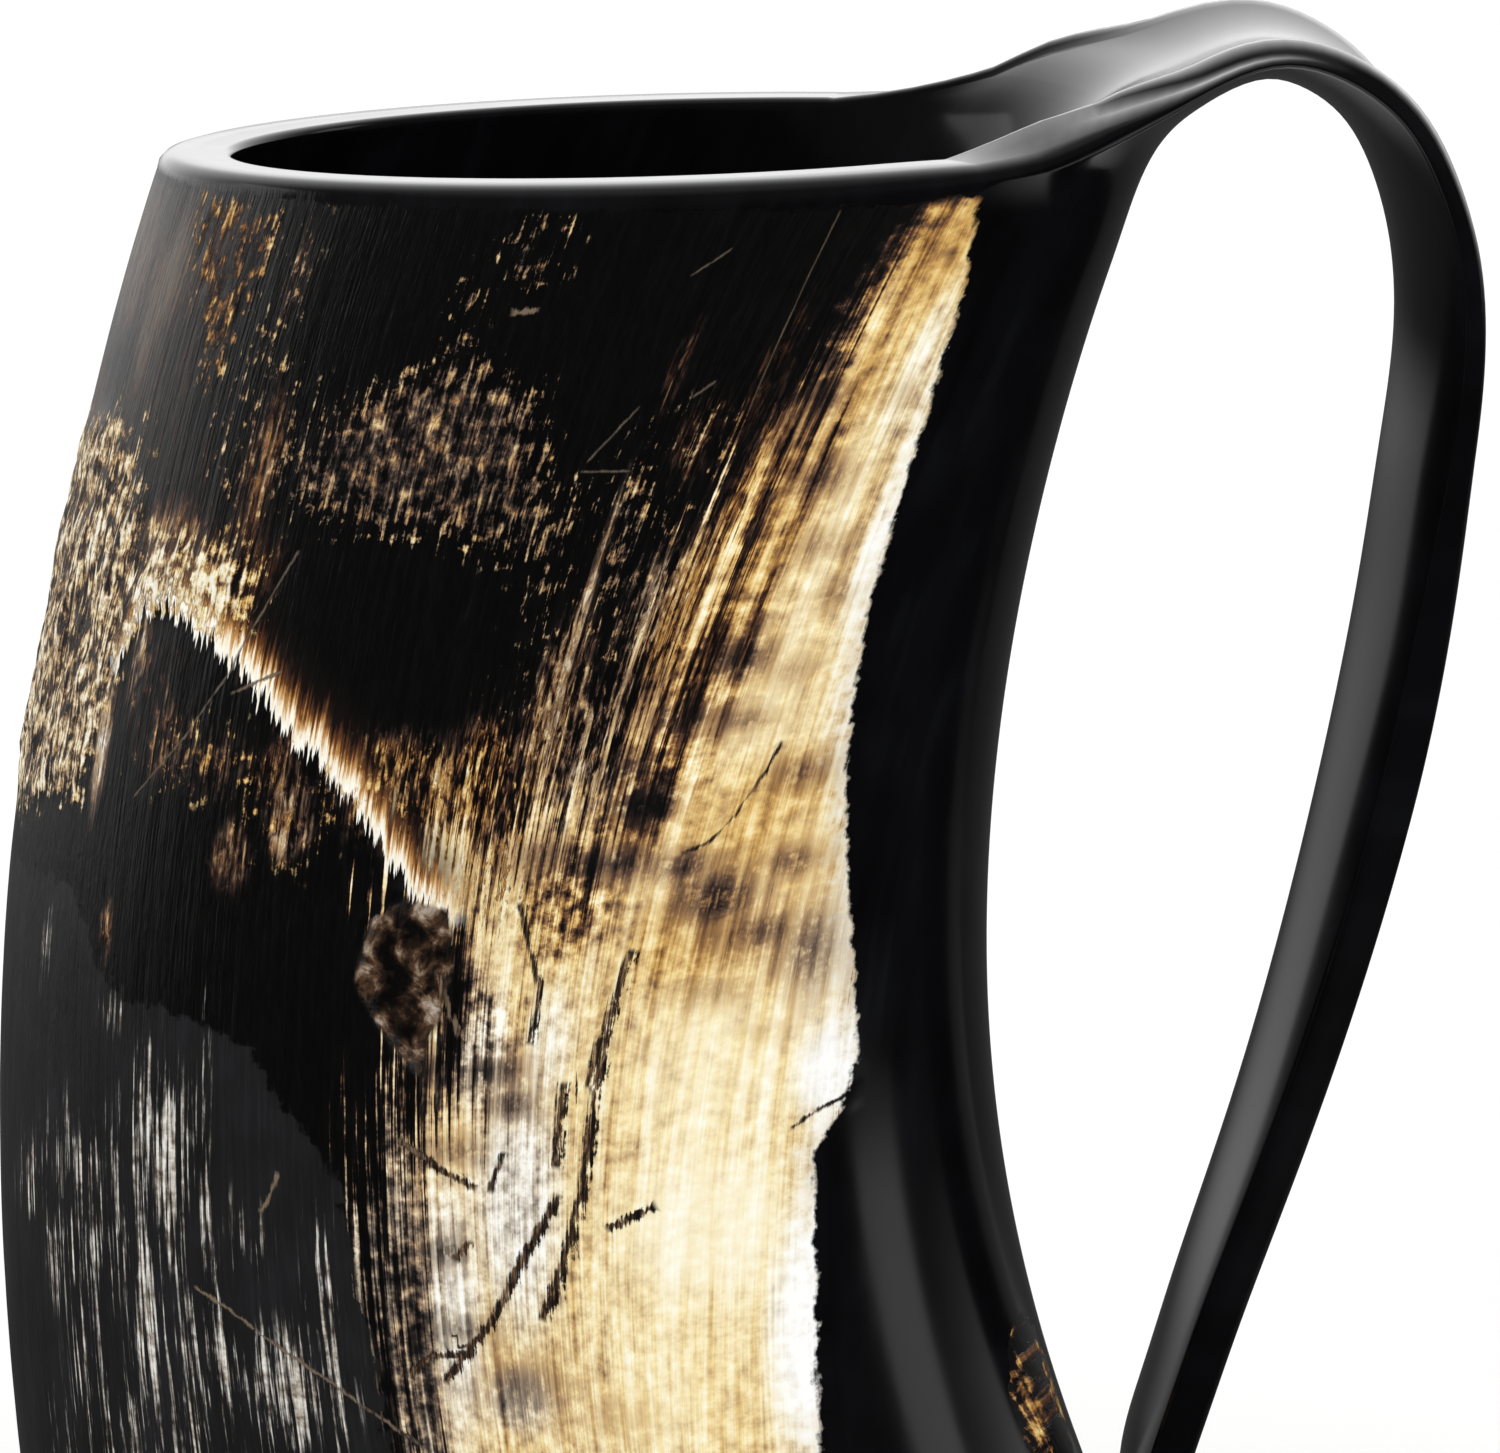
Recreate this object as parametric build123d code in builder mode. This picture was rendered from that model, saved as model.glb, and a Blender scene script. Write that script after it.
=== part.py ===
"""Drinking horn tankard: one cut length of ox horn whose own wall is split and bent into the handle.

Millimetres. The origin is the centre of the resting face, +Z is up and the handle points to +X.
"""

from build123d import *
import os

os.makedirs("parts", exist_ok=True)

# ---------------------------------------------------------------- driving dimensions

# Horn body: level ovals, as (height, centre along X, half width in X, half depth in Y).
# The centres bow away from the handle, because the horn keeps its natural curve.
horn_sections = [
    (0.0, 0.0, 52.7, 36.5),
    (30.0, -8.5, 48.2, 35.0),
    (60.0, -12.9, 45.2, 34.0),
    (90.0, -12.3, 43.9, 33.3),
    (120.0, -7.0, 43.5, 32.6),
    (150.0, 2.1, 44.1, 32.0),
    (158.0, 5.3, 44.3, 31.8),
]
rim_height = 150.0
rim_centre = 2.1
rim_tilt = 1.3
rim_wall = 6.4
rim_rounding = 1.4
base_wall = 4.6
base_rounding = 1.0

# Handle: crescent sections along the bent strip, root first. Each gives the X and Z of its two
# corners on the horn's outer skin, the X and Z of the belly between them, the half width and the
# thickness. The first two lie inside the wall. The last three are the foot, which is turned out
# to lie along the flared base.
handle_stations = [
    (33.9, 144.0, 43.1, 144.0, 19.3, 4.6),
    (37.0, 150.0, 45.9, 150.0, 19.2, 4.4),
    (45.0, 153.8, 50.2, 153.3, 18.8, 3.7),
    (49.4, 156.2, 52.4, 154.5, 18.3, 3.4),
    (54.8, 157.9, 55.6, 155.1, 17.9, 3.2),
    (60.0, 156.9, 59.3, 153.9, 17.6, 3.2),
    (65.5, 153.1, 63.1, 150.8, 17.2, 3.2),
    (69.1, 147.3, 65.8, 145.8, 16.8, 3.2),
    (71.4, 140.0, 67.5, 139.2, 16.2, 3.3),
    (72.0, 132.5, 67.9, 132.6, 15.6, 3.4),
    (70.8, 120.8, 66.7, 121.4, 14.6, 3.8),
    (68.4, 107.5, 64.8, 108.2, 13.8, 4.2),
    (65.2, 91.6, 61.8, 92.4, 12.7, 4.3),
    (60.8, 75.0, 58.0, 75.8, 11.5, 4.3),
    (55.2, 58.0, 53.3, 58.7, 10.4, 4.2),
    (50.0, 43.5, 48.7, 44.0, 9.6, 4.1),
    (46.6, 33.2, 45.7, 33.4, 9.1, 4.1),
    (44.7, 25.0, 44.0, 25.0, 8.8, 4.0),
    (45.9, 17.0, 45.4, 16.9, 8.6, 3.9),
    (49.2, 9.0, 48.9, 8.9, 8.2, 3.7),
]

# Wooden board let into the horn's wide end, and the resin bead round its upper edge.
board_thickness = 20.0
seal_height = 3.0
seal_width = 2.6
seal_lip = 0.6

# Brass brads: five through the wall into the board, and two through the handle's foot.
brad_radius = 0.9
head_radius = 1.8
head_height = 0.8
head_rounding = 0.5
base_brad_length = 12.0
base_brad_height = 9.0
base_brad_angles = [62, 118, 180, 242, 298]
foot_brad_length = 15.0
foot_brad_heights = [11.5, 17.5]
far_outside = 100.0


# ---------------------------------------------------------------- shared geometry


def wall_at(height):
    """Thickness of the horn's wall, which thins steadily from the rim to the base."""
    return base_wall + (rim_wall - base_wall) * min(height / rim_height, 1.0)


def oval_face(height, centre, half_width, half_depth, inset):
    """One level oval of the horn as a face, drawn in by inset all round."""
    with BuildSketch(Plane.XY.offset(height)) as oval:
        with Locations((centre, 0)):
            Ellipse(half_width - inset, half_depth - inset)
    return oval.sketch.face()


def horn_ovals(walls):
    """The horn's ovals as faces, each drawn in by that many walls."""
    return [oval_face(*section, inset=walls * wall_at(section[0])) for section in horn_sections]


def hollow_oval(height, margin):
    """Face of the hollow's oval between the two lowest sections, less a margin all round."""
    low, high = horn_sections[0], horn_sections[1]
    part_way = (height - low[0]) / (high[0] - low[0])
    between = [start + (end - start) * part_way for start, end in zip(low, high)]
    return oval_face(*between, inset=wall_at(height) + margin)


def crescent_face(corner_x, corner_z, belly_x, belly_z, half_width, thickness):
    """One crescent across the handle, bulging from its outer corners to its belly."""
    corner = Vector(corner_x, 0, corner_z)
    to_belly = Vector(belly_x, 0, belly_z) - corner
    bulge = to_belly.length
    across = Vector(0, -1, 0)
    with BuildSketch(Plane(corner, x_dir=across, z_dir=across.cross(to_belly))) as crescent:
        with BuildLine():
            ThreePointArc((-half_width, 0), (0, bulge), (half_width, 0))
            Line((half_width, 0), (half_width, -thickness))
            ThreePointArc((half_width, -thickness), (0, bulge - thickness), (-half_width, -thickness))
            Line((-half_width, -thickness), (-half_width, 0))
        make_face()
    return crescent.sketch.face()


def seat_plane(solid, start, direction):
    """Plane on the solid's skin where a line from start first meets it, facing outwards."""
    hits = solid.find_intersection_points(Axis(start, direction))
    point, normal = min(hits, key=lambda hit: (hit[0] - Vector(start)).length)
    facing = normal.dot(Vector(direction)) < 0
    return Plane(origin=point, z_dir=normal if facing else -normal)


def brad(length):
    """One brad pointing down -Z, with the underside of its rounded head at the origin."""
    with BuildPart() as blank:
        Cylinder(brad_radius, length, align=(Align.CENTER, Align.CENTER, Align.MAX))
        Cylinder(head_radius, head_height, align=(Align.CENTER, Align.CENTER, Align.MIN))
        fillet(faces().sort_by(Axis.Z)[-1].edges(), radius=head_rounding)
    return blank.part


# ---------------------------------------------------------------- hollow, blank and strip

with BuildPart() as hollow:
    loft(horn_ovals(walls=1))

with BuildPart() as horn_blank:
    loft(horn_ovals(walls=0))
    add(hollow.part, mode=Mode.SUBTRACT)
    rim_plane = Plane((rim_centre, 0, rim_height)).rotated((0, -rim_tilt, 0))
    split(bisect_by=rim_plane, keep=Keep.BOTTOM)
    fillet(faces().sort_by(Axis.Z)[-1].edges(), radius=rim_rounding)
    resting_face = faces().sort_by(Axis.Z)[0]
    fillet(resting_face.edges().sort_by(SortBy.LENGTH)[-1], radius=base_rounding)

with BuildPart() as handle_strip:
    loft([crescent_face(*station) for station in handle_stations])

# ---------------------------------------------------------------- brads

base_seats = []
for angle in base_brad_angles:
    outward = Vector(1, 0, 0).rotate(Axis.Z, angle)
    start = outward * far_outside + Vector(0, 0, base_brad_height)
    base_seats.append(seat_plane(horn_blank.part, start, -outward))

foot_seats = []
for height in foot_brad_heights:
    foot_seats.append(seat_plane(handle_strip.part, (far_outside, 0, height), (-1, 0, 0)))

with BuildPart() as base_brads:
    with Locations(*base_seats):
        add(brad(base_brad_length))

with BuildPart() as handle_brads:
    with Locations(*foot_seats):
        add(brad(foot_brad_length))

# ---------------------------------------------------------------- horn, board and seal

with BuildPart() as horn:
    add(horn_blank.part)
    add(handle_strip.part)
    add(base_brads.part, mode=Mode.SUBTRACT)
    add(handle_brads.part, mode=Mode.SUBTRACT)

with BuildPart() as base_board:
    add(hollow.part)
    split(bisect_by=Plane.XY.offset(board_thickness), keep=Keep.BOTTOM)
    add(base_brads.part, mode=Mode.SUBTRACT)
    add(handle_brads.part, mode=Mode.SUBTRACT)

with BuildPart() as base_seal:
    add(hollow.part)
    split(bisect_by=Plane.XY.offset(board_thickness), keep=Keep.TOP)
    split(bisect_by=Plane.XY.offset(board_thickness + seal_height), keep=Keep.BOTTOM)
    mouth_low = hollow_oval(board_thickness, seal_width)
    mouth_high = hollow_oval(board_thickness + seal_height, seal_lip)
    loft([mouth_low, mouth_high], mode=Mode.SUBTRACT)

# ---------------------------------------------------------------- labels and files

horn.part.label = "horn"
export_step(horn.part, "parts/horn.step")

base_board.part.label = "base_board"
export_step(base_board.part, "parts/base_board.step")

base_seal.part.label = "base_seal"
export_step(base_seal.part, "parts/base_seal.step")

base_brads.part.label = "base_brads"
export_step(base_brads.part, "parts/base_brads.step")

handle_brads.part.label = "handle_brads"
export_step(handle_brads.part, "parts/handle_brads.step")
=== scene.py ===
"""Looks for the drinking horn tankard: one structured horn mesh, procedural materials, soft studio light.

Shapes are worked out in millimetres and stored in metres. Angles run round the horn in degrees, 0 at the
handle and -90 towards the camera. Heights run up from the resting face.
"""

import math

import bpy
import numpy as np
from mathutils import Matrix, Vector


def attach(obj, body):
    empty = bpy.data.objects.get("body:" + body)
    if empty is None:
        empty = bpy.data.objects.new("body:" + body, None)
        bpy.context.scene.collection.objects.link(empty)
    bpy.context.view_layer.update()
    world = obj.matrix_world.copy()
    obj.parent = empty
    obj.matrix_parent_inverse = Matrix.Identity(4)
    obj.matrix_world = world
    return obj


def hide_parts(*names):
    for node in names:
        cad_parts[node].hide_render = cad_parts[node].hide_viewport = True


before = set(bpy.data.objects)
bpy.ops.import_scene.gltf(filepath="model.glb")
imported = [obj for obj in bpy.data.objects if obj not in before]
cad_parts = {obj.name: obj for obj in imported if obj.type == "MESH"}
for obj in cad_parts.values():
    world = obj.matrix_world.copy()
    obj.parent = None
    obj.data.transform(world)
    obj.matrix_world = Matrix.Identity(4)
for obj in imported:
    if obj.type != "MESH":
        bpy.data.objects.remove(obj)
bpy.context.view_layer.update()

MM = 0.001

# -------- the horn's driving dimensions

# Level ovals: height, centre along X, half width in X, half depth in Y.
HORN_OVALS = np.array([
    (0.0, 0.0, 52.7, 36.5), (30.0, -8.5, 48.2, 35.0), (60.0, -12.9, 45.2, 34.0), (90.0, -12.3, 43.9, 33.3),
    (120.0, -7.0, 43.5, 32.6), (150.0, 2.1, 44.1, 32.0), (158.0, 5.3, 44.3, 31.8),
])
RIM_HEIGHT, RIM_CENTRE, RIM_HALF_WIDTH, RIM_HALF_DEPTH = HORN_OVALS[5]
RIM_SLOPE = math.tan(math.radians(1.3))
RIM_WALL = 6.4
BASE_WALL = 4.6
ROOT_HALF_WIDTH = 19.3
ROOT_SINE = ROOT_HALF_WIDTH / RIM_HALF_DEPTH

# Handle strip: station, X and Z of the corner on the outer skin, X and Z of the belly, half width, thickness.
HANDLE_STATIONS = [
    (157.0, 45.0, 153.8, 50.2, 153.3, 18.8, 3.7), (160.5, 49.4, 156.2, 52.4, 154.5, 18.3, 3.4),
    (165.0, 54.8, 157.9, 55.6, 155.1, 17.9, 3.3), (169.7, 60.0, 156.9, 59.3, 153.9, 17.6, 3.3),
    (175.4, 65.5, 153.1, 63.1, 150.8, 17.2, 3.3), (181.7, 69.1, 147.3, 65.8, 145.8, 16.8, 3.3),
    (188.8, 71.4, 140.0, 67.5, 139.2, 16.2, 3.4), (195.7, 72.0, 132.5, 67.9, 132.6, 15.6, 3.5),
    (207.6, 70.8, 120.8, 66.7, 121.4, 14.6, 3.9), (221.5, 68.4, 107.5, 64.8, 108.2, 13.8, 4.3),
    (237.2, 65.2, 91.6, 61.8, 92.4, 12.7, 4.4), (254.2, 60.8, 75.0, 58.0, 75.8, 11.5, 4.4),
    (271.9, 55.2, 58.0, 53.3, 58.7, 10.4, 4.3), (287.1, 50.0, 43.5, 48.7, 44.0, 9.6, 4.2),
    (298.2, 46.6, 33.2, 45.7, 33.4, 9.1, 4.1), (306.5, 44.7, 25.0, 44.0, 25.0, 8.8, 4.0),
    (314.4, 45.9, 17.0, 45.4, 16.9, 8.6, 3.9), (323.1, 49.2, 9.0, 48.9, 8.9, 8.2, 3.7),
]
FOOT_STATION = 322.3
FOOT_CORNER = 3.0

# Where the handle's edges leave the rim, as angles, and the station where they run straight.
NEAR_ANGLE, FAR_ANGLE = -53.0, 64.0
NEAR_STRAIGHT, FAR_STRAIGHT = 161.0, 165.0

# The skin turns from the ovals into the strip over these heights and, at its sides, these shares of its half width.
STRIP_START = (134.0, 147.0)
STRIP_SIDES = (1.0, 1.5)
WALL_HEIGHTS = (130.0, 140.0, 148.0)  # where the wall under the handle counts as handle stations
OVALS_END = 170.0  # no oval is needed above this height
# Along the arch the crescents ease from the oval's own curve towards a plain arc, by this share.
CRESCENT_EASING, CRESCENT_SPAN = 0.6, (150.0, 175.0)
# Half steps for the skin's slopes, round the horn in degrees and along it in millimetres.
ANGLE_STEP, STATION_STEP = 0.2, 0.15


def smooth(low, high, x):
    """0 below low, 1 above high, and an even S between."""
    t = np.clip((np.asarray(x, float) - low) / (high - low), 0.0, 1.0)
    return t * t * (3.0 - 2.0 * t)


def unit(vectors):
    """The vectors at length 1."""
    return vectors / np.linalg.norm(vectors, axis=-1, keepdims=True)


def spline(xs, ys):
    """Natural cubic spline through the rows ys at xs, as a function that takes arrays."""
    xs, ys = np.asarray(xs, float), np.asarray(ys, float)
    n, h = len(xs), np.diff(xs)
    system, right = np.zeros((n, n)), np.zeros((n,) + ys.shape[1:])
    system[0, 0] = system[-1, -1] = 1.0
    for i in range(1, n - 1):
        system[i, i - 1], system[i, i], system[i, i + 1] = h[i - 1], 2 * (h[i - 1] + h[i]), h[i]
        right[i] = 6 * ((ys[i + 1] - ys[i]) / h[i] - (ys[i] - ys[i - 1]) / h[i - 1])
    m = np.linalg.solve(system, right)

    def value(x):
        x = np.asarray(x, float)
        i = np.clip(np.searchsorted(xs, x) - 1, 0, n - 2)
        spread = (slice(None),) * x.ndim + (None,) * (ys.ndim - 1)
        t, step = (x - xs[i])[spread], h[i][spread]
        a = (m[i + 1] - m[i]) / (6 * step)
        c = (ys[i + 1] - ys[i]) / step - step * (2 * m[i] + m[i + 1]) / 6
        return ys[i] + t * (c + t * (m[i] / 2 + t * a))

    return value


oval_at = spline(HORN_OVALS[:, 0], HORN_OVALS[:, 1:])


def wall_station(height):
    """The wall under the handle, written as a handle station."""
    centre, half_width, half_depth = oval_at(height)
    corner = centre + half_width * math.sqrt(1 - ROOT_SINE ** 2)
    return (height, corner, height, centre + half_width, height, half_depth * ROOT_SINE, RIM_WALL)


stations = np.array([wall_station(z) for z in WALL_HEIGHTS] + HANDLE_STATIONS)
strip_spline = spline(stations[:, 0], stations[:, 1:])


def strip_at(s):
    """Corner X and Z, belly X and Z, half width and thickness of the strip at each station."""
    return strip_spline(np.maximum(s, WALL_HEIGHTS[0]))


def strip_share(angle, s):
    """1 where the skin follows the handle strip, 0 where it follows the horn's ovals."""
    across = np.abs(np.sin(np.radians(angle))) / ROOT_SINE
    front = np.cos(np.radians(angle)) > 0
    return np.where(front, (1 - smooth(*STRIP_SIDES, across)) * smooth(*STRIP_START, s), 0.0)


def skin(angle, s):
    """Outer skin points, for an angle round the horn and a height or handle station s."""
    angle, s = np.broadcast_arrays(np.asarray(angle, float), np.asarray(s, float))
    turn = np.radians(angle)
    centre, half_width, half_depth = np.moveaxis(oval_at(np.minimum(s, OVALS_END)), -1, 0)
    body = np.stack([centre + half_width * np.cos(turn), half_depth * np.sin(turn), s], -1)
    corner_x, corner_z, belly_x, belly_z, width, _ = np.moveaxis(strip_at(s), -1, 0)
    v = np.sin(turn) / ROOT_SINE
    k = ROOT_SINE * (1 - CRESCENT_EASING * smooth(*CRESCENT_SPAN, s))
    flat = np.sqrt(1 - k * k)
    bulge = (np.sqrt(np.clip(1 - (v * k) ** 2, 0, 1)) - flat) / (1 - flat)
    strip_x = corner_x + (belly_x - corner_x) * bulge
    strip_z = corner_z + (belly_z - corner_z) * bulge
    strip = np.stack([strip_x, v * width, strip_z], -1)
    share = strip_share(angle, s)[..., None]
    return body * (1 - share) + strip * share


def skin_normal(angle, s):
    """Outward unit normals of the skin."""
    across = skin(angle + ANGLE_STEP, s) - skin(angle - ANGLE_STEP, s)
    along = skin(angle, s + STATION_STEP) - skin(angle, s - STATION_STEP)
    return unit(np.cross(across, along))


def wall_thickness(angle, s, normal):
    """Thickness along the normal. The body's wall is stated level, so it is turned by the lean."""
    wall = BASE_WALL + (RIM_WALL - BASE_WALL) * np.clip(s / RIM_HEIGHT, 0, 1)
    body = wall * np.sqrt(1 - normal[..., 2] ** 2)
    share = strip_share(angle, s)
    return body * (1 - share) + strip_at(s)[..., 5] * share


def angle_across(v):
    """Angle round the horn for a place across the strip, 1 at its corner."""
    return np.degrees(np.arcsin(np.clip(v * ROOT_SINE, -0.999, 0.999)))


# -------- random relief


LATTICE = 32


def lattice_noise(points, seed):
    """Smooth random values from -1 to 1 at points (..., 3), one lattice cell to a unit."""
    table = np.random.default_rng(seed).uniform(-1, 1, (LATTICE,) * 3)
    cell = np.floor(points).astype(int)
    t = points - cell
    t = t * t * (3 - 2 * t)
    value = np.zeros(points.shape[:-1])
    for corner in np.ndindex(2, 2, 2):
        weight = np.prod(np.where(corner, t, 1 - t), axis=-1)
        x, y, z = np.moveaxis((cell + corner) % LATTICE, -1, 0)
        value += weight * table[x, y, z]
    return value


def layered_noise(points, seed, layers=3):
    """Several octaves of lattice noise, from about -1 to 1."""
    total = sum(lattice_noise(points * 2.0 ** n, seed + n) / 2.0 ** n for n in range(layers))
    return total / sum(0.5 ** n for n in range(layers))


# -------- pattern outlines (angle, height)

DEGREE = 0.68  # millimetres of skin to one degree
SEAM = 148.0  # the angle at the back where the pattern starts and ends

LIGHT_ZONE = [
    (-57, 149.5), (-52.5, 147.5), (-50, 140), (-49.8, 128), (-51.5, 112), (-51, 100), (-49, 90), (-46.8, 80),
    (-46.2, 72), (-49, 67.5), (-54, 63.5), (-55, 55), (-57.5, 46), (-60, 36), (-62, 20), (-63, -9), (-104, -9),
    (-107.5, 40), (-106.5, 60), (-99.5, 70), (-97.5, 78), (-97, 86), (-101, 88.5), (-97, 92), (-89, 93), (-82, 98),
    (-78, 104), (-74, 112), (-70.5, 121), (-67, 131), (-65, 139), (-61, 146.5),
]
BORDER_START, BORDER_END = 1, 16  # the light zone's points along the polished horn
BARK_ZONE = [
    (-222, 98), (-222, 131), (-185, 127), (-176, 125), (-168, 127), (-160, 127.5), (-153, 124), (-147, 119),
    (-138, 117.5), (-130, 118), (-127, 112), (-133, 110.5), (-139, 112), (-145, 111), (-148, 104), (-151, 94),
    (-160, 93.5), (-168, 92), (-178, 91), (-195, 93),
]
GOLD_PATCH = [
    (-157, 147.3), (-147, 147), (-139, 146.5), (-138, 141), (-140, 134), (-142.5, 130), (-147, 136), (-152, 141),
]
CHIP_PATCH = [
    (-128, 124), (-124, 128), (-118, 132), (-112, 134.5), (-105, 135.5), (-100, 133), (-97, 129), (-95, 124),
    (-91, 119), (-97, 118), (-105, 120), (-114, 120), (-121, 121),
]
GRAY_ZONE = [
    (-222, 86), (-175, 86), (-165, 86.5), (-157, 86.5), (-151, 85.5), (-147.5, 83), (-145, 79.5), (-140, 77.5),
    (-133, 77), (-126, 75.5), (-121, 74), (-118, 70.5), (-114, 67.5), (-110, 63.5), (-107.5, 50), (-106, 30),
    (-106, -9), (-222, -9),
]
SCAB = [(-107, 86), (-103, 88), (-98, 87.3), (-96.8, 84), (-98, 78.5), (-100.5, 72.5), (-104.5, 76), (-108.3, 80.5)]
LIP_LINE = [
    (-148, 106), (-146, 110), (-142, 112), (-138, 111.5), (-133, 109.5), (-127, 107), (-122, 103.5), (-117, 100.5),
    (-112, 97.5), (-107, 93.5), (-104, 90), (-101, 87.5), (-96, 86),
]
LIP_START, LIP_END = (-151, -147), (-100, -95)  # the angles over which the lip sets in and fades out
# The back is not in the photograph: its zones are the builder's own, in the manner of the front.
BACK_LIGHT = [(58, -9), (56, 40), (53, 80), (52, 118), (56, 140), (61, 132), (68, 105), (80, 84), (93, 70), (96, -9)]
BACK_BARK = [(104, 92), (112, 128), (126, 136), (158, 131), (158, 100), (132, 88), (116, 82)]
BACK_GRAY = [(98, -9), (100, 44), (112, 66), (130, 74), (148, 85), (158, 86), (158, -9)]

# Soft strokes of tone, laid over one another: angle, height, half width in degrees, half height in millimetres,
# tone from black 0 to white 1, warmth from gray 0 to gold 1, and how strongly the grain varies it.
DARK_STROKES = [
    (-112, 127, 13, 6, 0.17, 0.8, 0.3), (-172, 110, 26, 16, 0.3, 0.7, 0.4), (-149, 141, 8, 6, 0.16, 0.9, 0.3),
    # The first two strokes on the line below lay a smooth gray-brown band at the top left. It is partly the horn's
    # own gray-brown and partly a painted reflection of the bright room on its rounded side.
    (-172, 140, 14, 9, 0.31, 0.2, 0.14), (-157, 137, 6, 12, 0.35, 0.1, 0.08), (-176, 128, 12, 4, 0.24, 0.6, 0.2),
    (-150, 130, 7, 9, 0.17, 0.4, 0.14), (-144, 123, 10, 6, 0.13, 0.8, 0.14), (-133, 141, 2, 6, 0.2, 0.5, 0.4),
    (-143, 117.5, 8, 3.5, 0.38, 0.8, 0.45), (-136, 115, 8, 3.5, 0.48, 0.6, 0.45),
    (-131, 125, 3, 8, 0.3, 1, 0.4), (-130, 116, 6, 5, 0.22, 1, 0.3), (-124, 107, 5, 2, 0.14, 1, 0.3),
    (-118, 102.5, 4, 2, 0.2, 1, 0.4), (-140, 105, 7, 5, 0.09, 0.6, 0.4), (-137, 100, 6, 3.5, 0.22, 0.7, 0.5),
    (-130, 99, 6, 3.5, 0.2, 0.6, 0.5), (-121, 99, 4, 3, 0.2, 0.8, 0.5), (-118, 94.5, 3.5, 4, 0.4, 0.6, 0.6),
    (-125, 91, 3, 3.5, 0.3, 0.6, 0.5), (-143.5, 83, 1.6, 3.5, 0.3, 0.6, 0.5),
    (-148.5, 99, 1.6, 7, 0.6, 0.2, 0.5), (-144, 107, 1.5, 5, 0.45, 0.3, 0.5), (-107, 100, 8, 3, 0.28, 1, 0.6),
    (-104, 97, 9, 5, 0.35, 0.9, 0.8), (-98, 91, 6, 5, 0.52, 0.8, 0.85), (-96, 99, 6, 6, 0.27, 1, 0.85),
    (-91, 92, 6, 6, 0.3, 0.85, 0.95), (-92, 84, 6, 4, 0.5, 0.6, 0.8), (-89, 104, 5, 10, 0.34, 0.8, 0.75),
    (-88, 111, 1, 15, 0.5, 0.4, 0.5), (-80, 113, 5, 7, 0.3, 0.45, 0.75), (-83, 103, 6, 6, 0.22, 0.5, 0.8),
    (-84, 97, 5, 4, 0.42, 0.35, 0.8), (-77, 111, 3.5, 12, 0.32, 1, 0.55), (-73, 119, 2.6, 15, 0.36, 1, 0.5),
    (-67, 117, 4, 11, 0.34, 1, 0.35), (-72, 106, 5, 8, 0.33, 1, 0.4), (-79, 128, 4, 5, 0.15, 0.9, 0.45),
    (-73, 134, 2, 7, 0.12, 1, 0.35), (-84, 134, 1.4, 5, 0.17, 0.8, 0.4), (-69, 126, 2, 6, 0.3, 1, 0.4),
    (-106, 70, 8, 6, 0.03, 0.4, 0.1), (-99, 71, 2.5, 7, 0.16, 0.1, 0.45), (-104, 44, 6, 6, 0.16, 0.3, 0.4),
    (30, 90, 26, 80, 0.03, 0.4, 0.1), (160, 120, 14, 14, 0.25, 0.5, 0.3), (86, 112, 12, 12, 0.28, 1, 0.55),
    (72, 128, 8, 12, 0.36, 1, 0.5),
]
PALE_STROKES = [
    (-57, 144, 9, 7, 0.56, 1, 0.26), (-62, 134, 7, 8, 0.66, 0.95, 0.32), (-53, 131, 4, 9, 0.84, 0.6, 0.34),
    (-67, 121, 6, 10, 0.6, 1, 0.4), (-58, 118, 7, 10, 0.78, 0.8, 0.32), (-52, 118, 3.2, 10, 0.88, 0.5, 0.34),
    (-72, 107, 7, 7, 0.48, 0.95, 0.7), (-60, 105, 9, 8, 0.8, 0.8, 0.26), (-78, 97, 9, 6, 0.5, 1, 0.75),
    (-62, 94, 11, 6, 0.66, 1, 0.3), (-54, 91, 7, 5, 0.74, 0.9, 0.22), (-85, 88, 9, 6, 0.48, 0.9, 0.85),
    (-70, 84, 9, 5, 0.66, 1, 0.34), (-52, 80, 5, 6, 0.82, 0.5, 0.3), (-66, 72, 15, 8, 0.86, 0.85, 0.2),
    (-51, 71, 5, 5, 0.97, 0.1, 0.2), (-69, 58, 15, 9, 0.9, 0.85, 0.16), (-75, 45, 13, 8, 0.82, 0.9, 0.26),
    (-59, 48, 4.5, 11, 0.97, 0.2, 0.2), (-105, 45, 9, 34, 0.6, 0.15, 0.55), (-90, 61, 10, 12, 0.86, 0.1, 0.5),
    (-94, 75, 7, 6, 0.6, 0.25, 0.95), (-86, 75, 5, 5, 0.84, 0.45, 0.45), (-98, 52, 6, 12, 0.76, 0.12, 0.55),
    (-103, 48, 4, 12, 0.36, 0.2, 0.6), (-92, 43.5, 8, 3, 0.72, 0.2, 0.5), (-96, 80, 5, 4, 0.32, 0.4, 0.7),
    (-100, 20, 12, 16, 0.6, 0.3, 0.5), (56, 125, 8, 14, 0.62, 1, 0.35), (60, 95, 9, 14, 0.75, 0.85, 0.3),
    (80, 60, 10, 20, 0.8, 0.3, 0.5),
]

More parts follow.
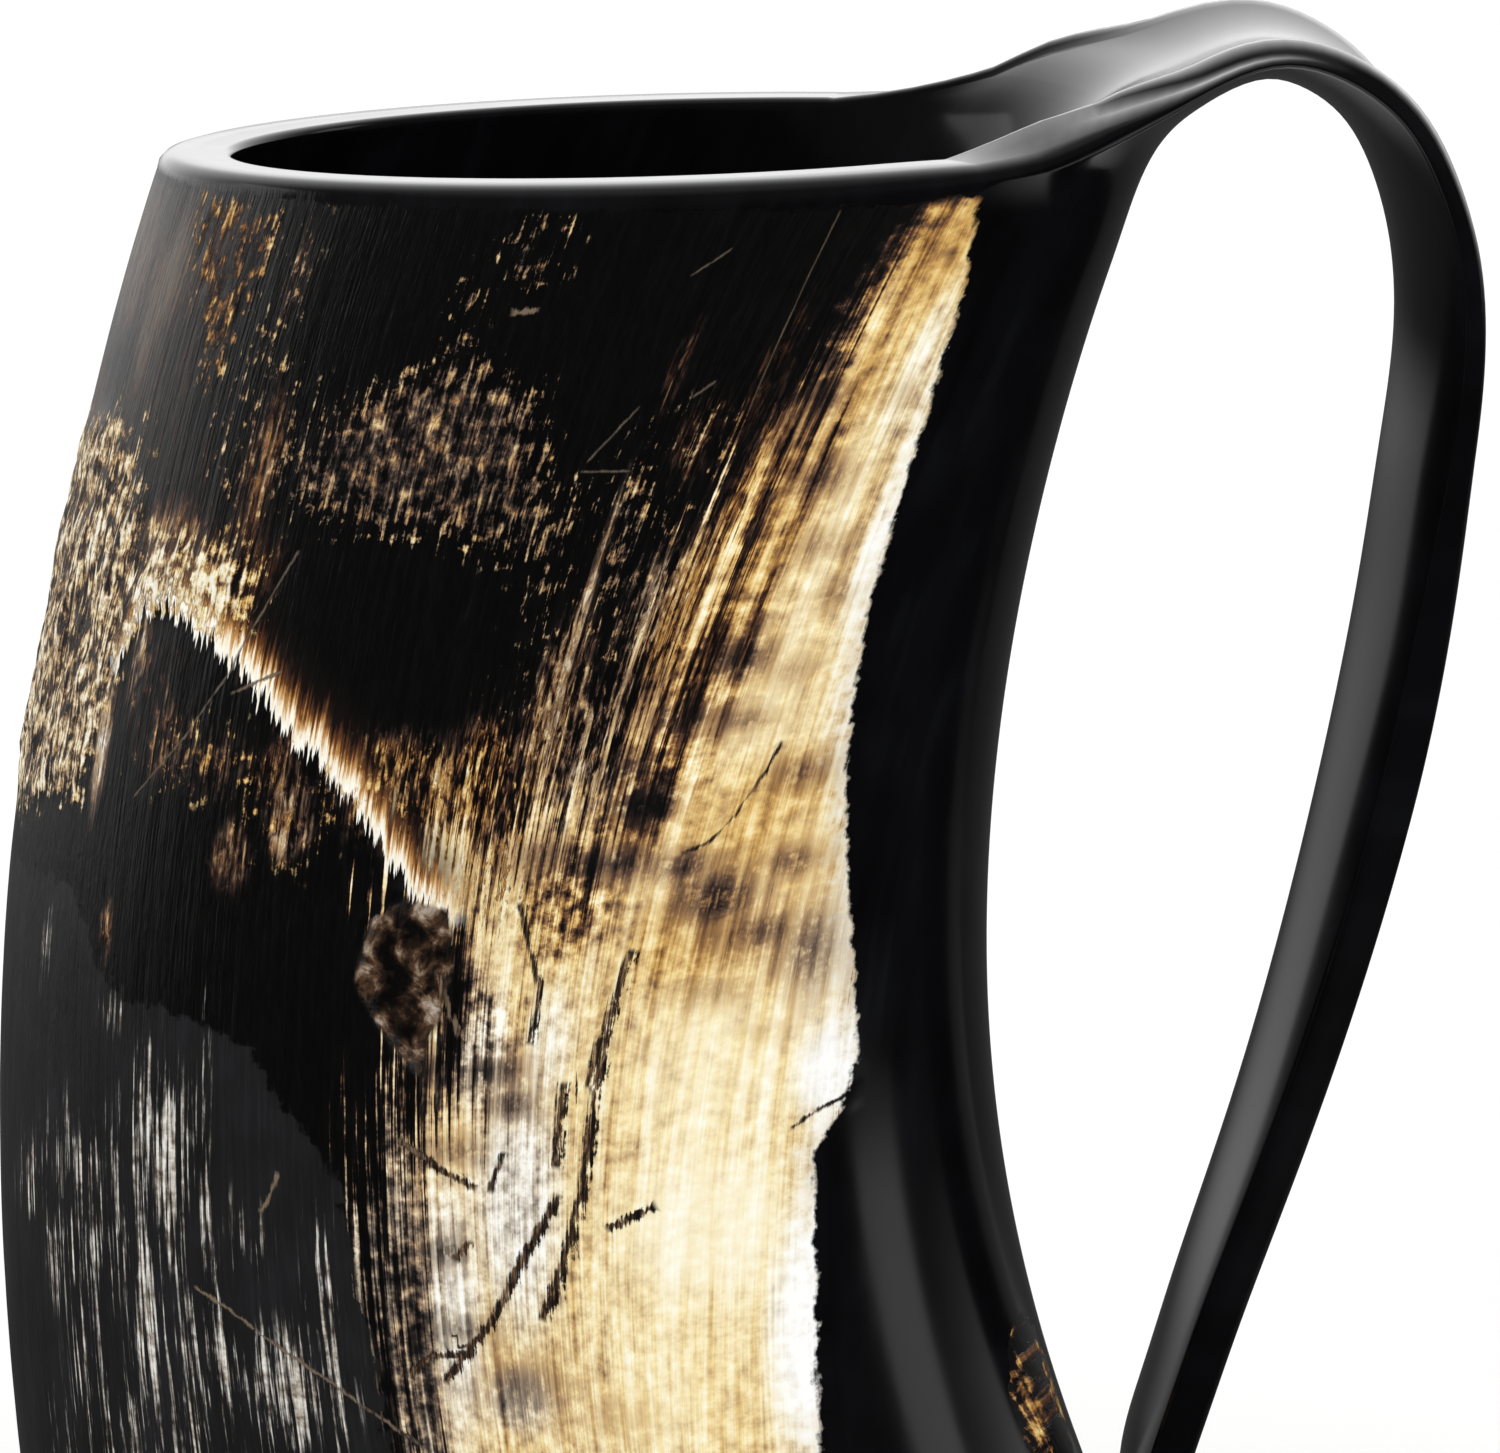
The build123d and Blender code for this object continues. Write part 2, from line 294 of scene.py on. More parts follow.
# Gouges and scratches: half width in millimetres and a broken line of (angle, height). The marks of one layer keep
# well apart, so that each point has one nearest mark.
MARKS = [
    [
        (0.42, [(-76.5, 83.5), (-79, 77), (-81, 69), (-82.5, 62), (-85, 56), (-88.5, 50.5)]),
        (0.3, [(-103, 67), (-98, 64), (-94, 62.5)]),
        (0.15, [(-60.5, 101), (-62, 98.5), (-65.5, 94.5), (-68.5, 92.3), (-72, 91.5)]),
        (0.15, [(-129, 52.5), (-124, 50.5), (-113, 45), (-103.5, 39.5)]),
        (0.07, [(-123, 118), (-129, 107), (-134, 101), (-141, 95)]), (0.07, [(-91.5, 126), (-87, 131)]),
        (0.08, [(-81.5, 131.5), (-79, 133)]), (0.06, [(-86, 142), (-82, 144.5)]),
        (0.2, [(-119.5, 59.5), (-117, 63.5)]),
    ],
    [
        (0.36, [(-85, 62), (-89, 57), (-94, 50.5), (-100, 45)]), (0.34, [(-80.5, 58.5), (-74, 60.5)]),
        (0.3, [(-80, 76), (-81.5, 71)]), (0.26, [(-90, 88), (-87, 80), (-88, 75)]), (0.3, [(-95, 58), (-97.5, 56)]),
        (0.22, [(-91, 66), (-93, 62)]), (0.24, [(-99, 82), (-96, 76)]),
        (0.26, [(-104, 45.5), (-101, 47.5), (-97, 48)]), (0.07, [(-92, 125.3), (-86, 125.3)]),
        (0.04, [(-74.3, 130), (-71, 147.5)]), (0.13, [(-121.5, 107.5), (-128.5, 105)]),
        (0.16, [(-57, 66), (-53, 67.3), (-46, 68.8)]), (0.24, [(-105, 139), (-101.5, 139.2)]),
        (0.4, [(-84, 72), (-85.5, 64)]),
    ],
]

# Soft blobs: angle, height, half width in degrees, half height in millimetres, strength.
FLECKS = [
    (-133, 141, 2, 5, 0.36), (-104, 144.5, 3.5, 3, 0.45), (-110, 138, 2, 4, 0.36), (-79, 128, 4, 3, 0.3),
    (-81, 115, 5, 7, 0.4), (-131, 126, 5, 7, 0.4), (-122, 125, 6, 4, 0.44), (-93, 119, 3, 6, 0.36),
    (-136, 131, 5, 6, 0.3), (-88, 105, 6, 8, 0.38), (-85, 119, 3, 8, 0.38), (-17, 36, 10, 8, 0.62),
    (-132, 99, 9, 3, 0.36), (-118, 96, 5, 4, 0.42), (-104, 98, 7, 3, 0.36), (-92, 90, 6, 5, 0.4),
    (-160, 120, 8, 6, 0.6), (84, 116, 8, 8, 0.4),
]
PALE_STREAKS = [
    (-146, 62, 7, 4, 0.52), (-147, 54, 5, 6, 0.44), (-134, 63, 4, 7, 0.74), (-136, 50, 2.5, 9, 0.56),
    (-127, 57, 1.2, 14, 0.52), (-127, 45, 5, 5, 0.52), (-120, 44, 7, 4, 0.56), (-157, 81, 1.2, 3, 0.5),
    (-160, 59, 4, 3, 0.4), (-153, 53, 2, 4, 0.42), (-148, 43, 2, 6, 0.44), (-112.5, 49, 1.6, 9, 0.52),
    (-132, 40, 4, 6, 0.46), (-123, 57, 3, 3, 0.4), (-138, 56, 4, 4, 0.4), (-142, 76, 2, 2, 0.4),
    (-140, 25, 16, 14, 0.45), (118, 40, 14, 16, 0.45), (132, 62, 6, 9, 0.5), (112, 100, 6, 9, 0.4),
]
SMUDGES = [
    (-67, 87.5, 5, 2.2, 0.8), (-61, 84, 6, 1.6, 0.6), (-53.5, 82, 4.5, 3.6, 0.7), (-72, 90.5, 4, 1.4, 0.75),
    (-80, 91, 5, 1.4, 0.8), (-88, 92, 4, 1.6, 0.6), (-68, 108.5, 4, 1.6, 0.75), (-74, 103.5, 5, 1.2, 0.7),
    (-66, 103, 4, 1, 0.6), (-61, 107, 3, 1.4, 0.45), (-82, 106, 4, 3, 0.8), (-81, 99.5, 4, 1.6, 0.7),
    (-65, 131, 2.6, 1.6, 0.6), (-62, 124, 4, 1.8, 0.55), (-60, 118, 3, 1.4, 0.5), (-57, 113.5, 4, 1.1, 0.4),
    (-70, 128, 3, 2, 0.6), (-82, 42, 5, 1.6, 0.2), (-93, 73, 4, 1.2, 0.9), (-90, 70, 3, 1.4, 0.8),
    (-92, 45, 5, 2.2, 0.45), (-96, 66, 3, 1.2, 0.6), (-98, 57, 2, 1.4, 0.9), (-97, 50, 2.5, 1.2, 0.8),
    (-99, 73, 3, 1.5, 0.8), (-57, 98, 4, 1.4, 0.5), (-77, 96, 4, 1.5, 0.9), (-57, 90, 4, 1.4, 0.6),
    (-66, 79, 4, 1.2, 0.4), (-60, 75, 3, 0.9, 0.3), (-56, 131, 3, 1, 0.35), (66, 90, 6, 3, 0.6),
    (72, 60, 6, 3, 0.6),
]


def flatten(points):
    """(angle, height) pairs as millimetres on the unrolled skin."""
    return np.asarray(points, float) * (DEGREE, 1.0)


def line_distance(xy, line, closed=False):
    """Distance of each point from a broken line."""
    ends = np.roll(line, -1, axis=0) if closed else line[1:]
    starts = line if closed else line[:-1]
    best = np.full(len(xy), 1e9)
    for start, end in zip(starts, ends):
        run = end - start
        t = np.clip((xy - start) @ run / (run @ run), 0, 1)
        best = np.minimum(best, np.linalg.norm(xy - start - t[:, None] * run, axis=1))
    return best


MARK_REACH = 2.0  # millimetres round a mark where its field counts
BLOB_FALL = 0.7
STROKE_EDGE = (0.35, 1.35)


def mark_fields(xy, marks):
    """For the nearest mark to each point: signed distance from its line, how far inside its ends, half width."""
    nearest = np.full(len(xy), 1e9)
    fields = np.zeros((len(xy), 3))
    for width, points in marks:
        line = flatten(points)
        runs = line[1:] - line[:-1]
        lengths = np.linalg.norm(runs, axis=1)
        passed = np.concatenate([[0], np.cumsum(lengths)])
        for i, (start, run, length) in enumerate(zip(line[:-1], runs, lengths)):
            along = (xy - start) @ run / length
            gap = np.linalg.norm(xy - start - (np.clip(along, 0, length) / length)[:, None] * run, axis=1)
            aside = ((xy - start) @ np.array([-run[1], run[0]])) / length
            inside = np.minimum(passed[i] + along, passed[-1] - passed[i] - along)
            closer = gap < nearest
            nearest = np.where(closer, gap, nearest)
            values = np.stack([aside, np.minimum(inside, MARK_REACH - gap), np.full(len(xy), width)], 1)
            fields = np.where(closer[:, None], values, fields)
    return fields


def zone_depth(xy, outline):
    """Signed distance inside a closed outline, in millimetres, negative outside."""
    line = flatten(outline)
    inside = np.zeros(len(xy), bool)
    for (x0, y0), (x1, y1) in zip(line, np.roll(line, -1, axis=0)):
        crosses = (y0 > xy[:, 1]) != (y1 > xy[:, 1])
        slope = (x1 - x0) / (y1 - y0) if y1 != y0 else 0.0
        inside ^= crosses & (xy[:, 0] < x0 + (xy[:, 1] - y0) * slope)
    distance = line_distance(xy, line, closed=True)
    return np.where(inside, distance, -distance)


def blobs(xy, rows):
    """Highest of several soft blobs at each point."""
    total = np.zeros(len(xy))
    for angle, height, half_angle, half_height, strength in rows:
        far = ((xy[:, 0] / DEGREE - angle) / half_angle) ** 2 + ((xy[:, 1] - height) / half_height) ** 2
        total = np.maximum(total, strength * np.exp(-far * BLOB_FALL))
    return total


def lay_strokes(grain_xy, rows, tone, warmth, contrast):
    """Tone, warmth and contrast after laying soft strokes over a flat start. The strokes follow the grain."""
    state = np.tile([tone, warmth, contrast], (len(grain_xy), 1)).astype(float)
    for angle, height, half_angle, half_height, *target in rows:
        centre = grain_place(np.array([float(angle)]), np.array([float(height)]))[0]
        away = np.hypot((grain_xy[:, 0] - centre) / half_angle, (grain_xy[:, 1] - height) / half_height)
        share = (1 - smooth(*STROKE_EDGE, away))[:, None]
        state += (np.array(target) - state) * share
    return state.T


# The grain leans towards the handle by so many degrees for each millimetre down, beside it but not behind it.
GRAIN_LEAN, LEAN_START, LEAN_END = 0.25, (5, 40), (72, 108)


def grain_place(angle, station):
    """Angle of the grain line through each point where it meets the rim. The lines lean near the handle."""
    signed = (angle + 180) % 360 - 180
    size = np.abs(signed)
    lean = GRAIN_LEAN * (1 - smooth(*LEAN_END, size)) * smooth(*LEAN_START, size)
    side = np.where(signed < 0, -1.0, 1.0)
    return angle - side * lean * (RIM_HEIGHT - np.minimum(station, RIM_HEIGHT))


# -------- the horn mesh

STRIP_COLUMNS = 45
BACK_COLUMNS = 104
NEAR_COLUMNS = 263
LOW_ROWS, HIGH_ROWS = 14, 134
INNER_ROWS = 34
FILLET_ROWS = 14
HANDLE_ROWS = 136
FOOT_ROWS = 7
ROUNDING_STEPS = 3
LEAST_RISE = 0.25  # of each row over the one below, at the strip's root

# The level cut: how far the inner edge may move, the halvings of the search, the rows above the fillet that belong
# to the cut, where it starts to turn square to the skin, how soon it has, and the rows that smooth it.
CUT_RANGE = (-7.0, 5.0)
CUT_HALVINGS = 24
CUT_ROWS = 30
LEVEL_START, LEVEL_FADE = 6.0, 9.0
CUT_MEAN_ROWS = 9

strip_angles = np.linspace(NEAR_ANGLE, FAR_ANGLE, STRIP_COLUMNS)
back_angles = np.linspace(FAR_ANGLE, 180.0, BACK_COLUMNS)[1:]
near_angles = np.linspace(180.0, 360.0 + NEAR_ANGLE, NEAR_COLUMNS)[1:-1]
column_angles = np.concatenate([strip_angles, back_angles, near_angles])
column_angles = np.where(column_angles > 180, column_angles - 360, column_angles)
COLUMNS = len(column_angles)


def rim_height_at(angle):
    """Height of the tilted rim at each angle."""
    x = RIM_CENTRE + RIM_HALF_WIDTH * np.cos(np.radians(angle))
    return RIM_HEIGHT + (x - RIM_CENTRE) * RIM_SLOPE


def edge_curve(side_angle, straight):
    """The strip's edge from the rim to the foot, as rows of (millimetres across, station), outward normals and
    the share of the rim in each."""
    v_rim = abs(math.sin(math.radians(side_angle))) / ROOT_SINE
    s_rim = float(rim_height_at(side_angle))
    turn = np.linspace(0, math.pi / 2, FILLET_ROWS + 1)
    s_fillet = s_rim + (straight - s_rim) * (1 - np.cos(turn))
    v_fillet = 1 + (v_rim - 1) * (1 - np.sin(turn))
    s_handle = np.linspace(straight, FOOT_STATION - FOOT_CORNER, HANDLE_ROWS + 1)[1:]
    corner = np.linspace(0, math.pi / 2, FOOT_ROWS + 1)[1:]
    s_foot = FOOT_STATION - FOOT_CORNER + FOOT_CORNER * np.sin(corner)
    s = np.concatenate([s_fillet, s_handle, s_foot])
    width = strip_at(s)[:, 4]
    x = np.concatenate([v_fillet, np.ones(len(s_handle)), np.ones(len(s_foot))]) * width
    x[-FOOT_ROWS:] -= FOOT_CORNER * (1 - np.cos(corner))
    step_x, step_s = np.gradient(x), np.gradient(s)
    step_x[0], step_s[0] = -1.0, 0.0
    step_x[-1], step_s[-1] = -1.0, 0.0
    normal = unit(np.stack([step_s, -step_x], 1))
    rim_share = np.concatenate([1 - smooth(0, math.pi / 2, turn), np.zeros(len(s) - len(turn))])
    return np.stack([x, s], 1), normal, rim_share


near_edge, near_out, rim_share = edge_curve(NEAR_ANGLE, NEAR_STRAIGHT)
far_edge, far_out, _ = edge_curve(FAR_ANGLE, FAR_STRAIGHT)
STRIP_ROWS = len(near_edge) - 1


def sheet_point(edge, side, depth):
    """Points a full wall (depth 1) or no wall (depth 0) under the skin, for (millimetres across, station) rows."""
    angle = angle_across(side * edge[:, 0] / strip_at(edge[:, 1])[:, 4])
    normal = skin_normal(angle, edge[:, 1])
    return skin(angle, edge[:, 1]) - depth * normal * wall_thickness(angle, edge[:, 1], normal)[:, None]


def level_cut(edge, out, side):
    """How far each row of the inner skin's edge moves so that the cut runs level across the wall."""
    corner = sheet_point(edge, side, 0)
    order = np.argsort(corner[:FILLET_ROWS + CUT_ROWS, 0])
    cut_x, cut_z = corner[order, 0], corner[order, 2]
    low, high = (np.full(len(edge), limit) for limit in CUT_RANGE)
    for _ in range(CUT_HALVINGS):
        middle = (low + high) / 2
        inner = sheet_point(edge + out * middle[:, None], side, 1)
        on_rim = RIM_HEIGHT + (inner[:, 0] - RIM_CENTRE) * RIM_SLOPE
        target = np.where(inner[:, 0] < cut_x[0], on_rim, np.interp(inner[:, 0], cut_x, cut_z))
        above = inner[:, 2] > target
        high, low = np.where(above, middle, high), np.where(above, low, middle)
    straight = edge[FILLET_ROWS, 1]
    shift = middle * (1 - smooth(straight - LEVEL_START, straight + LEVEL_FADE, edge[:, 1]))
    # A running mean takes the kink out where the cut leaves the rim.
    padded = np.pad(shift, CUT_MEAN_ROWS // 2, mode="reflect", reflect_type="odd")
    return np.convolve(padded, np.full(CUT_MEAN_ROWS, 1 / CUT_MEAN_ROWS), mode="valid")


near_shift = level_cut(near_edge, near_out, -1)
# The far side's cut turns square to the skin sooner.
far_shift = level_cut(far_edge, far_out, 1) * rim_share ** 2


def strip_grid(rounding, inner):
    """Angles and stations of the strip's rows, drawn in from the edge by each row's rounding."""
    v0 = np.sin(np.radians(strip_angles)) / ROOT_SINE
    place = (v0 - v0[0]) / (v0[-1] - v0[0])
    near = near_edge + near_out * (near_shift * inner - rounding)[:, None]
    far = far_edge + far_out * (far_shift * inner - rounding)[:, None]
    for edge in (near, far):  # rows never fold back on the ones below
        for k in range(1, FILLET_ROWS + 1):
            edge[k, 1] = max(edge[k, 1], edge[k - 1, 1] + LEAST_RISE)
    near_v = -near[:, 0] / strip_at(near[:, 1])[:, 4]
    far_v = far[:, 0] / strip_at(far[:, 1])[:, 4]
    v = near_v[:, None] + (far_v - near_v)[:, None] * place
    s = near[:, 1][:, None] + (far[:, 1] - near[:, 1])[:, None] * place
    return angle_across(v), s


ARCH_END = (188.0, 238.0)
arch_share = 1 - smooth(*ARCH_END, near_edge[:, 1])


def handle_rounding(rim, arch, straight):
    """Rounding of each strip row: the rim's, then the arch's, then the straight part's."""
    rim_part = 1 - (1 - rim_share) ** 2
    return rim * rim_part + (arch * arch_share + straight * (1 - arch_share)) * (1 - rim_part)


def skin_grids(rim_rounding, rounding, base_rounding, body_rows, inner):
    """Body grid and strip grid of one skin as (angle, station, point, normal) arrays. They share one row."""
    strip_angle, strip_s = strip_grid(rounding, float(inner))
    body_angle = np.broadcast_to(column_angles, (len(body_rows), COLUMNS))
    top = rim_height_at(column_angles) - rim_rounding
    bottom = np.full(COLUMNS, base_rounding)
    if inner:  # the inner skin's ends are level with the outer skin's
        for end in (top, bottom):
            normal = skin_normal(column_angles, end)
            end += normal[:, 2] * wall_thickness(column_angles, end, normal)
    top[:STRIP_COLUMNS] = strip_s[0]
    body_s = bottom + (top - bottom) * body_rows[:, None]
    grids = []
    for angle, s in ((body_angle, body_s), (strip_angle, strip_s)):
        normal = skin_normal(angle, s)
        point = skin(angle, s)
        if inner:
            point = point - normal * wall_thickness(angle, s, normal)[..., None]
        grids.append((angle, s, point, normal))
    return grids


LOW_PART = 0.2  # of the height, below the photograph's frame, with fewer rows
INNER_CROWDING = 1.6  # crowds the inner skin's rows towards the rim
outer_rows = np.concatenate([
    np.linspace(0.0, LOW_PART, LOW_ROWS, endpoint=False), np.linspace(LOW_PART, 1.0, HIGH_ROWS)])
inner_rows = 1 - (1 - np.linspace(0.0, 1.0, INNER_ROWS)) ** INNER_CROWDING
# Roundings in millimetres: at the base, and at the rim, the arch and the handle's straight part.
OUTER_BASE, OUTER_ROUNDINGS = 1.0, (1.5, 0.35, 0.45)
INNER_BASE, INNER_ROUNDINGS = 0.5, (0.7, 4.2, 0.7)
# Along the arch the inner skin rolls over by about half a right angle and then breaks off at a crisp corner.
INNER_TURNS = (90.0, 50.0, 90.0)
CORNER_BREAK = 0.12
outer_handle = handle_rounding(*OUTER_ROUNDINGS)
inner_handle = handle_rounding(*INNER_ROUNDINGS)
inner_turn = np.radians(handle_rounding(*INNER_TURNS))
outer = skin_grids(OUTER_ROUNDINGS[0], outer_handle, OUTER_BASE, outer_rows, inner=False)
inside = skin_grids(INNER_ROUNDINGS[0], inner_handle, INNER_BASE, inner_rows, inner=True)

points, faces, columns = [], [], {"angle": [], "station": [], "outer": []}
count = 0


def add_points(point, angle, station, is_outer):
    """Adds vertices with their place on the sheet, and returns their indices."""
    global count
    shape = point.shape[:-1]
    size = int(np.prod(shape))
    points.append(point.reshape(-1, 3))
    columns["angle"].append(np.broadcast_to(angle, shape).ravel())
    columns["station"].append(np.broadcast_to(station, shape).ravel())
    columns["outer"].append(np.full(size, float(is_outer)))
    index = np.arange(count, count + size).reshape(shape)
    count += size
    return index


def add_grid(index, wraps, flip):
    """Quads of a grid of indices, rows up and columns round."""
    right = np.roll(index, -1, axis=1) if wraps else index[:, 1:]
    left = index if wraps else index[:, :-1]
    quads = np.stack([left[:-1], right[:-1], right[1:], left[1:]], -1).reshape(-1, 4)
    faces.append(quads[:, ::-1] if flip else quads)


def along_top(body, strip):
    """Values along the sheet's top edge: round the rim from the far side, up the near edge, across the foot and
    down the far edge."""
    last = STRIP_COLUMNS - 1
    return np.concatenate([body[-1, last:], body[-1, :1], strip[1:, 0], strip[-1, 1:last], strip[:0:-1, last]])


def rows_along_top(rim_value, row_values):
    """Values along the top edge, from the rim's one value and a value for each strip row."""
    strip = np.broadcast_to(row_values[:, None], (STRIP_ROWS + 1, STRIP_COLUMNS))
    return along_top(np.full((1, COLUMNS), rim_value), strip)


skins = []
for grids, is_outer, rounding, base_rounding in (
        (outer, True, outer_handle, OUTER_BASE), (inside, False, inner_handle, INNER_BASE)):
    body, strip = (dict(zip(("angle", "station", "point", "normal"), grid)) for grid in grids)
    body["index"] = add_points(body["point"], body["angle"], body["station"], is_outer)
    rest = add_points(strip["point"][1:], strip["angle"][1:], strip["station"][1:], is_outer)
    strip["index"] = np.concatenate([body["index"][-1:, :STRIP_COLUMNS], rest])
    add_grid(body["index"], True, not is_outer)
    add_grid(strip["index"], False, not is_outer)
    top = {key: along_top(body[key], strip[key]) for key in body}
    top["share"] = rows_along_top(1.0, rim_share)
    top["rounding"] = rows_along_top(rounding[0], rounding)
    top["turn"] = rows_along_top(math.pi / 2, inner_turn)
    base = {key: body[key][0, ::-1] for key in body}
    base["share"] = np.ones(COLUMNS)
    base["rounding"] = np.full(COLUMNS, base_rounding)
    base["turn"] = np.full(COLUMNS, math.pi / 2)
    skins.append((top, base))


def edge_band(outer_loop, inner_loop, outward):
    """Rounds the sheet's edge over from the outer skin to the inner one."""
    normal = outer_loop["normal"]
    run = np.roll(outer_loop["point"], -1, axis=0) - np.roll(outer_loop["point"], 1, axis=0)
    share = outer_loop["share"][:, None]
    out = unit(unit(np.cross(normal, run)) * (1 - share) + outward * share)
    level = unit(normal - out * np.sum(normal * out, axis=1, keepdims=True))
    turns = np.linspace(0, math.pi / 2, ROUNDING_STEPS + 1)
    rings = [outer_loop["index"]]
    start, end = outer_loop["point"], inner_loop["point"]
    ro, ri = outer_loop["rounding"][:, None], inner_loop["rounding"][:, None]
    outer_arc = [start + ro * (out * math.sin(t) - level * (1 - math.cos(t))) for t in turns[1:]]
    turn = inner_loop["turn"][:, None]
    radius = ri / np.sin(turn)
    inner_turns = [turn * part for part in (1, 0.75, 0.5, 0.25)]
    inner_arc = [end + radius * (out * np.sin(t) + level * (1 - np.cos(t))) for t in inner_turns]
    inner_arc.insert(0, inner_arc[0] + level * CORNER_BREAK)
    middle = (outer_arc[-1] + inner_arc[0]) / 2
    for ring in outer_arc + [middle] + inner_arc:
        rings.append(add_points(ring, outer_loop["angle"], outer_loop["station"], False))
    rings.append(inner_loop["index"])
    for here, after in zip(rings[:-1], rings[1:]):
        faces.append(np.stack([here, np.roll(here, -1), np.roll(after, -1), after], 1))


(outer_top, outer_base), (inner_top, inner_base) = skins
rim_up = np.array([-RIM_SLOPE, 0.0, 1.0]) / math.hypot(1, RIM_SLOPE)
edge_band(outer_top, inner_top, rim_up)
edge_band(outer_base, inner_base, np.array([0.0, 0.0, -1.0]))

points = np.concatenate(points)
faces = np.concatenate(faces)
angle = np.concatenate(columns["angle"])
station = np.concatenate(columns["station"])
is_outer = np.concatenate(columns["outer"])
angle = np.where(angle > SEAM, angle - 360.0, angle)
xy = np.stack([angle * DEGREE, station], 1)

# -------- zones and relief

NOISE_RADIUS = 40.0  # the grain's noise is laid on a round bar of this radius
POLISHED_RIM = 147.7
FAR_POLISH = 52.0
RAW_PATCH = (-17, 36, 11, 9, 1.0)  # raw horn low beside the handle
UNDER_POLISH = 10.0


def round_bar(bar_angle):
    """Places for noise round a bar, which don't stretch or jump anywhere."""
    bar_turn = np.radians(bar_angle)
    return np.stack([NOISE_RADIUS * np.cos(bar_turn), NOISE_RADIUS * np.sin(bar_turn), station], 1)


grain_angle = grain_place(angle, station)
grain = round_bar(grain_angle)
round_grain = round_bar(angle)

right_border = np.array(LIGHT_ZONE[BORDER_START:BORDER_END], float)
near_line = np.interp(-station, -right_border[:, 1], right_border[:, 0])
polish = np.where(angle < 0, (angle - near_line) * DEGREE, (FAR_POLISH - angle) * DEGREE)
patch = smooth(0.35, 0.6, blobs(xy, [RAW_PATCH]))
polish = polish * (1 - patch) - 2 * patch
polish = np.maximum(polish, station - POLISHED_RIM)
# The pale zone runs on under the polished one, so only the polish makes its crisp right border.
on_border = range(BORDER_START, BORDER_END)
under_polish = [(a + UNDER_POLISH * (i in on_border), h) for i, (a, h) in enumerate(LIGHT_ZONE)]
light = np.maximum(zone_depth(xy, under_polish), zone_depth(xy, BACK_LIGHT))
grain_xy = np.stack([grain_angle, station], 1)
dark_tone, dark_warmth, dark_contrast = lay_strokes(grain_xy, DARK_STROKES, tone=0.03, warmth=0.4, contrast=0.10)
pale_tone, pale_warmth, pale_contrast = lay_strokes(grain_xy, PALE_STROKES, tone=0.74, warmth=0.8, contrast=0.35)
bark = np.maximum(zone_depth(xy, BARK_ZONE), zone_depth(xy, BACK_BARK))
chips = zone_depth(xy, CHIP_PATCH)
gold_patch = zone_depth(xy, GOLD_PATCH)
gray = np.maximum(zone_depth(xy, GRAY_ZONE), zone_depth(xy, BACK_GRAY))
scab = zone_depth(xy, SCAB)
lip_points = np.array(LIP_LINE, float)
lip = station - np.interp(angle, lip_points[:, 0], lip_points[:, 1])
lip_reach = smooth(*LIP_START, angle) * (1 - smooth(*LIP_END, angle))
# How dense the flecks lie, and how gold they are: more so in the gold patch and above the lip's near part.
fleck = np.maximum.reduce([
    0.66 * smooth(-3.5, 3.5, bark), 0.58 * smooth(-3.5, 4.0, chips), 0.52 * smooth(-2.0, 2.0, gold_patch),
    blobs(xy, FLECKS),
])
above_lip = smooth(-8, 0, -lip + 8)
warm = np.clip(0.35 * smooth(-2, 2, gold_patch) + 0.5 * smooth(-150, -120, angle) * above_lip, 0, 1)
streaks = blobs(xy, PALE_STREAKS)
smudge = blobs(xy, SMUDGES)

POLISH_EDGE = 0.6
BRAD_BAND = (14, 20)  # below it the skin stays true to the CAD, where the brads sit
DEEPEST_DENT = 0.4
raw = np.clip(-polish / POLISH_EDGE, 0, 1) * is_outer
normals = np.zeros_like(points)
outer_normals = outer[0][3].reshape(-1, 3)
normals[:len(outer_normals)] = outer_normals


def dent(aside, inside, width):
    """Depth of a mark's groove."""
    across = 1 - smooth(0.5 * width, 2.0 * width + 0.25, np.abs(aside))
    return across * smooth(-0.2, 1.0, inside) * np.minimum(width, DEEPEST_DENT)


clear = smooth(*BRAD_BAND, station)
fine = layered_noise(grain * (0.9, 0.9, 0.10), 11)
pits = layered_noise(round_grain * (0.42, 0.42, 0.26), 23)
mark_layers = [mark_fields(xy, layer) for layer in MARKS]
dents = [dent(*layer.T) for layer in mark_layers]
chip_relief = layered_noise(grain * (1.3, 1.3, 0.45), 37)
scab_rim = smooth(-1.6, -0.2, scab) * (1 - smooth(-0.2, 0.3, scab))
# Relief in millimetres: grain, bark, dark strokes, marks, chips, lip, scab and the groove round it.
relief = 0.05 * fine
relief += smooth(-1, 3, bark) * (0.45 * pits + 0.20 * chip_relief + 0.12)
relief += 0.10 * chip_relief * smooth(0.1, 0.5, dark_contrast)
relief -= np.maximum(*dents)
relief += np.maximum(smooth(-1, 2, chips), smooth(-1, 1, gold_patch)) * (0.16 * chip_relief)
relief += lip_reach * 0.30 * smooth(-0.6, 0.6, lip + 0.5 * fine) * (1 - smooth(4, 10, lip))
relief += smooth(-0.3, 1.1, scab) * (0.65 + 0.22 * chip_relief + 0.2 * pits) - 0.25 * scab_rim
relief *= raw * clear
points = points + normals * relief[:, None]

